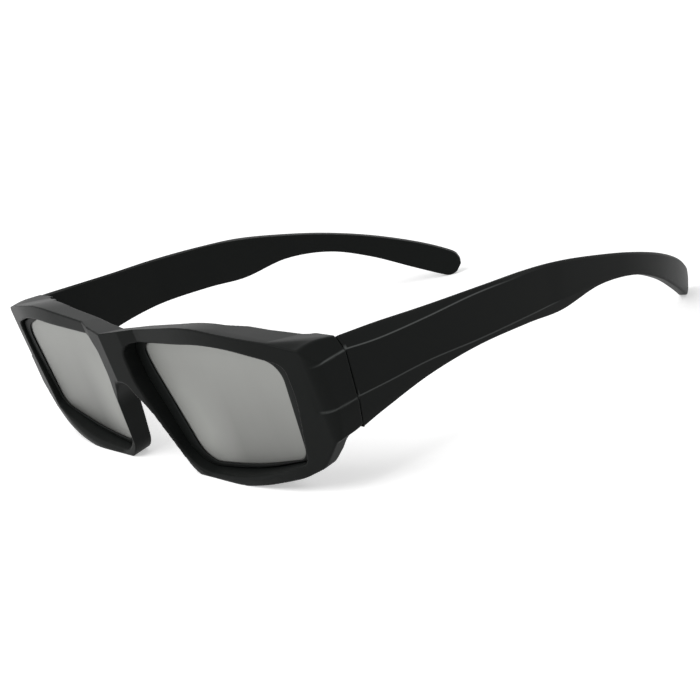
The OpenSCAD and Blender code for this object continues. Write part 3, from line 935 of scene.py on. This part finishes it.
def make_steel(look):
    """Turned steel of the pins."""
    material, g, shader = start_material("turned_steel")
    place = g.node("ShaderNodeTexCoord", output="Object")
    turning = g.node("ShaderNodeTexNoise", None, {"Vector": place, "Scale": 3000.0, "Detail": 2.0})
    g.feed(shader.inputs["Base Color"], mixed(
        g, turning, (*look.steel_colour, 1), (*[c * 0.8 for c in look.steel_colour], 1)))
    g.feed(shader.inputs["Roughness"], 0.3 + 0.15 * (turning - 0.5))
    shader.inputs["Metallic"].default_value = 1.0
    return material


FINISHES = {
    PLASTIC: ("satin_black_plastic", make_plastic),
    FILM: ("silver_filter_film", make_film),
    STEEL: ("turned_steel", make_steel),
}


def shared_material(slot):
    """The material of a slot, made when first asked for."""
    name, make = FINISHES[slot]
    return bpy.data.materials.get(name) or make(bpy.context.scene.glasses_finish)


# Settings

class GlassesShape(bpy.types.PropertyGroup):
    """Edges and meshes of the pieces."""

    mesh_step: bpy.props.FloatProperty(
        name="Mesh step", description="Side of the quads on the front and the temples",
        default=0.0003, min=0.0002, max=0.002, precision=5, unit="LENGTH")
    edge_round: bpy.props.FloatProperty(
        name="Edge rounding", description="Radius of the outer edges of the moulding",
        default=0.0003, min=0.0002, max=0.001, precision=5, unit="LENGTH")
    recess_round: bpy.props.FloatProperty(
        name="Recess rounding", description="Radius of the edges around the lens openings",
        default=0.00035, min=0.0002, max=0.0006, precision=5, unit="LENGTH")
    crease_ledge: bpy.props.FloatProperty(
        name="Crease ledge", description="Depth of the fine ledges along the temples' creases",
        default=0.00016, min=0.0, max=0.0004, precision=5, unit="LENGTH")
    film_sheet: bpy.props.FloatProperty(
        name="Film thickness", description="Thickness of the visible film",
        default=0.00012, min=0.00005, max=0.0003, precision=5, unit="LENGTH")
    film_wave: bpy.props.FloatProperty(
        name="Film waviness", description="Height of the slow waves in the stretched film",
        default=0.00003, min=0.0, max=0.0001, precision=5, unit="LENGTH")


class GlassesFinish(bpy.types.PropertyGroup):
    """Colours and finishes."""

    plastic_colour: bpy.props.FloatVectorProperty(
        name="Plastic", description="Colour of the moulded plastic", subtype="COLOR",
        size=3, min=0, max=1, default=(0.0076, 0.0086, 0.0081))
    worn_colour: bpy.props.FloatVectorProperty(
        name="Rubbed plastic", description="Colour of the plastic where it is rubbed", subtype="COLOR",
        size=3, min=0, max=1, default=(0.0115, 0.0125, 0.0120))
    # Painted highlight: a light colour laid along the creases in place of the light that they catch
    crease_highlight_colour: bpy.props.FloatVectorProperty(
        name="Creases", description="Colour of the plastic along its creases", subtype="COLOR",
        size=3, min=0, max=1, default=(0.085, 0.090, 0.088))
    plastic_roughness: bpy.props.FloatProperty(
        name="Plastic roughness", description="Roughness of the moulded plastic",
        default=0.42, min=0.1, max=1.0)
    grain_size: bpy.props.FloatProperty(
        name="Grain size", description="Size of the plastic's grain",
        default=0.00025, min=0.0001, max=0.002, precision=5, unit="LENGTH")
    film_colour: bpy.props.FloatVectorProperty(
        name="Film", description="Colour of the metallised film", subtype="COLOR",
        size=3, min=0, max=1, default=(0.262, 0.265, 0.253))
    film_roughness: bpy.props.FloatProperty(
        name="Film roughness", description="Roughness of the metallised film",
        default=0.48, min=0.02, max=1.0)
    steel_colour: bpy.props.FloatVectorProperty(
        name="Steel", description="Colour of the hinge pins", subtype="COLOR",
        size=3, min=0, max=1, default=(0.5, 0.5, 0.51))


class GlassesStage(bpy.types.PropertyGroup):
    """Floor, light and camera."""

    floor_size: bpy.props.FloatProperty(
        name="Floor size", description="Side of the floor", default=14.0, min=1, max=50, unit="LENGTH")
    floor_colour: bpy.props.FloatVectorProperty(
        name="Floor", description="Colour of the floor", subtype="COLOR",
        size=3, min=0, max=1, default=(0.86, 0.86, 0.86))
    floor_lift: bpy.props.FloatProperty(
        name="Floor lift", description="What is added to the floor where it is seen",
        default=0.45, min=0, max=1)
    sky_level: bpy.props.FloatProperty(
        name="Sky level", description="Strength of the even light from all around",
        default=0.4, min=0, max=2)
    key_power: bpy.props.FloatProperty(
        name="Key light", description="Power of the large light above", default=9.5,
        min=0, max=200, unit="POWER")
    back_power: bpy.props.FloatProperty(
        name="Back light", description="Power of the soft light above and behind", default=1.0,
        min=0, max=200, unit="POWER")
    side_power: bpy.props.FloatProperty(
        name="Side light", description="Power of the soft light low on the far side", default=0.3,
        min=0, max=200, unit="POWER")
    focal_length: bpy.props.FloatProperty(
        name="Focal length", description="Focal length of the camera",
        default=87.43, min=20, max=300)


# Operators

class GLASSES_OT_front(bpy.types.Operator):
    """Build the moulded front with its hinge ears"""

    bl_idname = "glasses.front"
    bl_label = "Front"

    def execute(self, context):
        look = context.scene.glasses_shape
        step = look.mesh_step / MM * 1
        field = front_field(look.edge_round / MM, look.recess_round / MM, look.crease_ledge / MM)
        half = math.ceil((HALF_W + 1.5) / step) * step + step / 2
        body = skin(field, [-half, -2, RIM_LOW - 1], [half, 28, 7], step)
        parts = [placed(body, from_front)]
        for low in (-EAR_TOP - EAR_T, EAR_LOW):
            ear = skin(lambda x, y, z: ear_field(x, y, z, low), [-3, -1.2, low - 0.5],
                       [3, PIN_BACK + 3, low + EAR_T + 0.5], HINGE_STEP)
            ear = placed(ear, from_hinge)
            parts += [ear, mirrored(ear)]
        add_piece("front_shell", joined(parts), "front", "front_frame", PLASTIC,
                  crease_highlight=cheek_crease_highlight(body[0]))
        return {"FINISHED"}


class GLASSES_OT_rings(bpy.types.Operator):
    """Build the two lens rings"""

    bl_idname = "glasses.rings"
    bl_label = "Lens rings"

    def execute(self, context):
        n, r = 360, 0.22
        centre = window(0).mean(0)
        film_back = FILM_SET + FILM_T + FIT_GAP
        outer = evenly(opening(RING_GAP), centre, n)
        outer_in = evenly(opening(RING_GAP + r), centre, n)
        inner = evenly(window(0), centre, n)
        inner_out = evenly(window(r), centre, n)
        groove = evenly(window(GROOVE_D), centre, n)

        rings = [(outer_in + (outer - outer_in) * math.sin(a), r * (1 - math.cos(a)))
                 for a in np.linspace(0, math.pi / 2, 5)]
        rings += [(outer, RING_T - r)]
        rings += [(outer_in + (outer - outer_in) * math.cos(a), RING_T - r + r * math.sin(a))
                  for a in np.linspace(0.3, math.pi / 2, 4)]
        rings += [(inner_out, RING_T), (inner, RING_T - r), (inner, film_back), (groove, film_back),
                  (groove, FILM_SET - FIT_GAP), (inner, FILM_SET - FIT_GAP), (inner, r)]
        rings += [(inner + (inner_out - inner) * (1 - math.cos(a)), r - r * math.sin(a))
                  for a in np.linspace(0.3, math.pi / 2, 4)]
        face = [(inner_out + (outer_in - inner_out) * f, 0) for f in (0.33, 0.67)]
        loops = [np.column_stack([p, np.full(n, d)]) for p, d in rings + face]
        part = placed(swept(loops), from_filter)
        add_pair("filter_ring", part, ON_FRONT, "lens_ring", PLASTIC)
        return {"FINISHED"}


class GLASSES_OT_films(bpy.types.Operator):
    """Build the two filter films"""

    bl_idname = "glasses.films"
    bl_label = "Filter films"

    def execute(self, context):
        look = context.scene.glasses_shape
        n, sheet, wave = 240, look.film_sheet / MM, look.film_wave / MM
        outline = window(GROOVE_D - FILM_PLAY)
        centre = window(0).mean(0)
        edge = evenly(outline, centre, n)
        loops = []
        shares = np.r_[0.02, np.linspace(0.06, 1, 26)]
        for back in (False, True):
            for f in (shares[::-1] if back else shares):
                p = centre + (edge - centre) * f
                calm = 1 - f ** 4
                depth = FILM_SET + FILM_BEHIND + wave * calm * (
                    np.sin(p[:, 0] / 7 + 0.6) + 0.7 * np.sin(p[:, 1] / 6 + p[:, 0] / 15))
                loops.append(np.column_stack([p, depth + (sheet if back else 0)]))
        points, faces = swept(loops, closed=False)
        last = len(points) - n
        points, faces = placed((points, faces), from_filter)
        part = points, faces + [list(range(n)), list(range(last, last + n))[::-1]]
        add_pair("film", part, ON_FRONT, "filter", FILM)
        return {"FINISHED"}


class GLASSES_OT_temples(bpy.types.Operator):
    """Build the two temples with their knuckles"""

    bl_idname = "glasses.temples"
    bl_label = "Temples"

    def execute(self, context):
        look = context.scene.glasses_shape
        *wall, crease_highlight = temple_wall(look.edge_round / MM, look.crease_ledge / MM)
        inward = HALF_W - ROOT_T - PIN_X + LAP + 0.5
        knuckle = skin(knuckle_field, [-3.1, -0.5, KNUCKLE_LOW - 0.5],
                       [inward, PIN_BACK + 3.1, KNUCKLE_LOW + KNUCKLE_H + 0.5], HINGE_STEP)
        part = joined([wall, placed(knuckle, from_hinge)])
        add_pair("temple_arm", part, ON_TEMPLES, "temple", PLASTIC, crease_highlight=crease_highlight)
        return {"FINISHED"}


class GLASSES_OT_pins(bpy.types.Operator):
    """Build the two hinge pins"""

    bl_idname = "glasses.pins"
    bl_label = "Hinge pins"

    def execute(self, context):
        n, bevel = 48, 0.15
        turn = 2 * math.pi * np.arange(n) / n
        profile = [(PIN_R - bevel, EAR_LOW), (PIN_R, EAR_LOW + bevel), (PIN_R, -EAR_TOP - HEAD_H),
                   (HEAD_R, -EAR_TOP - HEAD_H), (HEAD_R, -EAR_TOP - bevel * 1.6),
                   (HEAD_R - bevel, -EAR_TOP - bevel * 0.7), (HEAD_R - bevel * 3, -EAR_TOP)]
        rings = [np.column_stack([r * np.cos(turn), PIN_BACK + r * np.sin(turn), np.full(n, z)])
                 for r, z in profile]
        points, faces = swept(rings, closed=False)
        last = len(points) - n
        points, faces = placed((points, faces), from_hinge)
        part = points, [f[::-1] for f in faces] + [list(range(n))[::-1], list(range(last, last + n))]
        add_pair("hinge_rivet", part, ON_FRONT, "hinge_pin", STEEL, smooth=False)
        return {"FINISHED"}


class GLASSES_OT_stage(bpy.types.Operator):
    """Set up the floor, the light and the camera"""

    bl_idname = "glasses.stage"
    bl_label = "Stage"

    def execute(self, context):
        scene = context.scene
        stage = scene.glasses_stage
        side = stage.floor_size / 2
        mesh = bpy.data.meshes.new("floor")
        corners = [(-side, -side, 0), (side, -side, 0), (side, side, 0), (-side, side, 0)]
        mesh.from_pydata(corners, [], [(0, 1, 2, 3)])
        floor = bpy.data.objects.new("floor", mesh)
        scene.collection.objects.link(floor)
        floor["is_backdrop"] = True
        mesh.materials.append(self.floor_material(stage))
        self.make_world(scene, stage)
        self.add_light("key_light", (0.0, -0.75, 1.0), (-0.1, -0.15, 0), 0.9, stage.key_power)
        self.add_light("back_light", (-0.1, 0.7, 0.95), (0, 0, 0), 0.5, stage.back_power)
        self.add_light("side_light", (-1.2, 0.9, 0.45), (0, 0, 0.03), 0.8, stage.side_power)
        scene.view_settings.view_transform = "Standard"
        self.add_camera(scene, stage)
        return {"FINISHED"}

    def floor_material(self, stage):
        """Pale floor, lifted towards white where it is seen, most of all far away."""
        material, g, shader = start_material("pale_floor")
        place = g.node("ShaderNodeTexCoord", output="Object")
        cloud = g.node("ShaderNodeTexNoise", None, {"Vector": place, "Scale": 3.0})
        pale = tuple(stage.floor_colour)
        g.feed(shader.inputs["Base Color"], mixed(g, cloud, (*pale, 1), (*[c * 0.99 for c in pale], 1)))
        shader.inputs["Roughness"].default_value = 0.9
        shader.inputs["Specular IOR Level"].default_value = 0.0
        away = spread(g.node("ShaderNodeVectorMath", {"operation": "LENGTH"}, {0: place}, output=1), 0.2, 0.8)
        near, far = stage.floor_lift, 1.0
        lift = mixed(g, away, (near, near, near, 1), (far, far, far, 1))
        shader.inputs["Emission Strength"].default_value = 1.0
        g.feed(shader.inputs["Emission Color"], mixed(g, self.seen(g), (0, 0, 0, 1), lift))
        return material

    def seen(self, g):
        """1 for rays from the camera, straight, mirrored or through clear material."""
        kinds = ("Is Camera Ray", "Is Glossy Ray", "Is Transmission Ray")
        rays = [g.node("ShaderNodeLightPath", output=name) for name in kinds]
        return spread(rays[0] + rays[1] + rays[2], 0.0, 1.0)

    def make_world(self, scene, stage):
        """Even light from all around, white where it is seen."""
        world = bpy.data.worlds.new("studio")
        scene.world = world
        world.use_nodes = True
        g = Wire(world.node_tree)
        background = world.node_tree.nodes["Background"]
        level = stage.sky_level
        g.feed(background.inputs["Color"], mixed(g, self.seen(g), (level, level, level, 1), (1, 1, 1, 1)))

    def add_light(self, name, at, aim, size, power):
        """A square soft light that points at aim."""
        lamp = bpy.data.lights.new(name, "AREA")
        lamp.shape = "SQUARE"
        lamp.size = size
        lamp.energy = power
        light = bpy.data.objects.new(name, lamp)
        bpy.context.scene.collection.objects.link(light)
        light.location = at
        light.rotation_euler = (Vector(aim) - Vector(at)).to_track_quat("-Z", "Y").to_euler()

    def add_camera(self, scene, stage):
        """The camera, at the place that it has in the temples' frame."""
        def direction(v):
            y, z = turned(v[1], v[2], -STANCE)
            return Vector((v[0], y, z)).normalized()

        lens = bpy.data.cameras.new("camera")
        lens.lens = stage.focal_length
        lens.sensor_width = 36.0
        lens.clip_start = 0.01
        camera = bpy.data.objects.new("camera", lens)
        scene.collection.objects.link(camera)
        at = Vector(from_temples(*CAMERA_AT)) * MM
        back = -direction(CAMERA_AHEAD)
        up = -direction(CAMERA_DOWN)
        right = up.cross(back).normalized()
        up = back.cross(right)
        turn = Matrix((right, up, back)).transposed()
        camera.matrix_world = Matrix.Translation(at) @ turn.to_4x4()
        scene.camera = camera


class GLASSES_PT_panel(bpy.types.Panel):
    """Lists what the glasses are built from"""

    bl_idname = "GLASSES_PT_panel"
    bl_label = "Eclipse glasses"
    bl_space_type = "VIEW_3D"
    bl_region_type = "UI"
    bl_category = "Glasses"

    def draw(self, context):
        layout = self.layout
        for group in (context.scene.glasses_shape, context.scene.glasses_finish, context.scene.glasses_stage):
            box = layout.box()
            for name in group.__annotations__:
                box.prop(group, name)
        for step in STEPS:
            layout.operator(step.bl_idname)


STEPS = (GLASSES_OT_stage, GLASSES_OT_front, GLASSES_OT_rings, GLASSES_OT_films, GLASSES_OT_temples,
         GLASSES_OT_pins)
GROUPS = {"glasses_shape": GlassesShape, "glasses_finish": GlassesFinish, "glasses_stage": GlassesStage}


def register():
    for cls in (*GROUPS.values(), *STEPS, GLASSES_PT_panel):
        bpy.utils.register_class(cls)
    for name, cls in GROUPS.items():
        setattr(bpy.types.Scene, name, bpy.props.PointerProperty(type=cls))


def unregister():
    for name in GROUPS:
        delattr(bpy.types.Scene, name)
    for cls in reversed((*GROUPS.values(), *STEPS, GLASSES_PT_panel)):
        bpy.utils.unregister_class(cls)


def main():
    """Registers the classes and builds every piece."""
    register()
    bpy.ops.glasses.stage()
    bpy.ops.glasses.front()
    bpy.ops.glasses.rings()
    bpy.ops.glasses.films()
    bpy.ops.glasses.temples()
    bpy.ops.glasses.pins()
    sizes = {name: [list(map(float, v)) for v in box]
             for name, box in (("cad", CAD_BOX), ("visual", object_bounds()))}


if __name__ == "__main__":
    main()
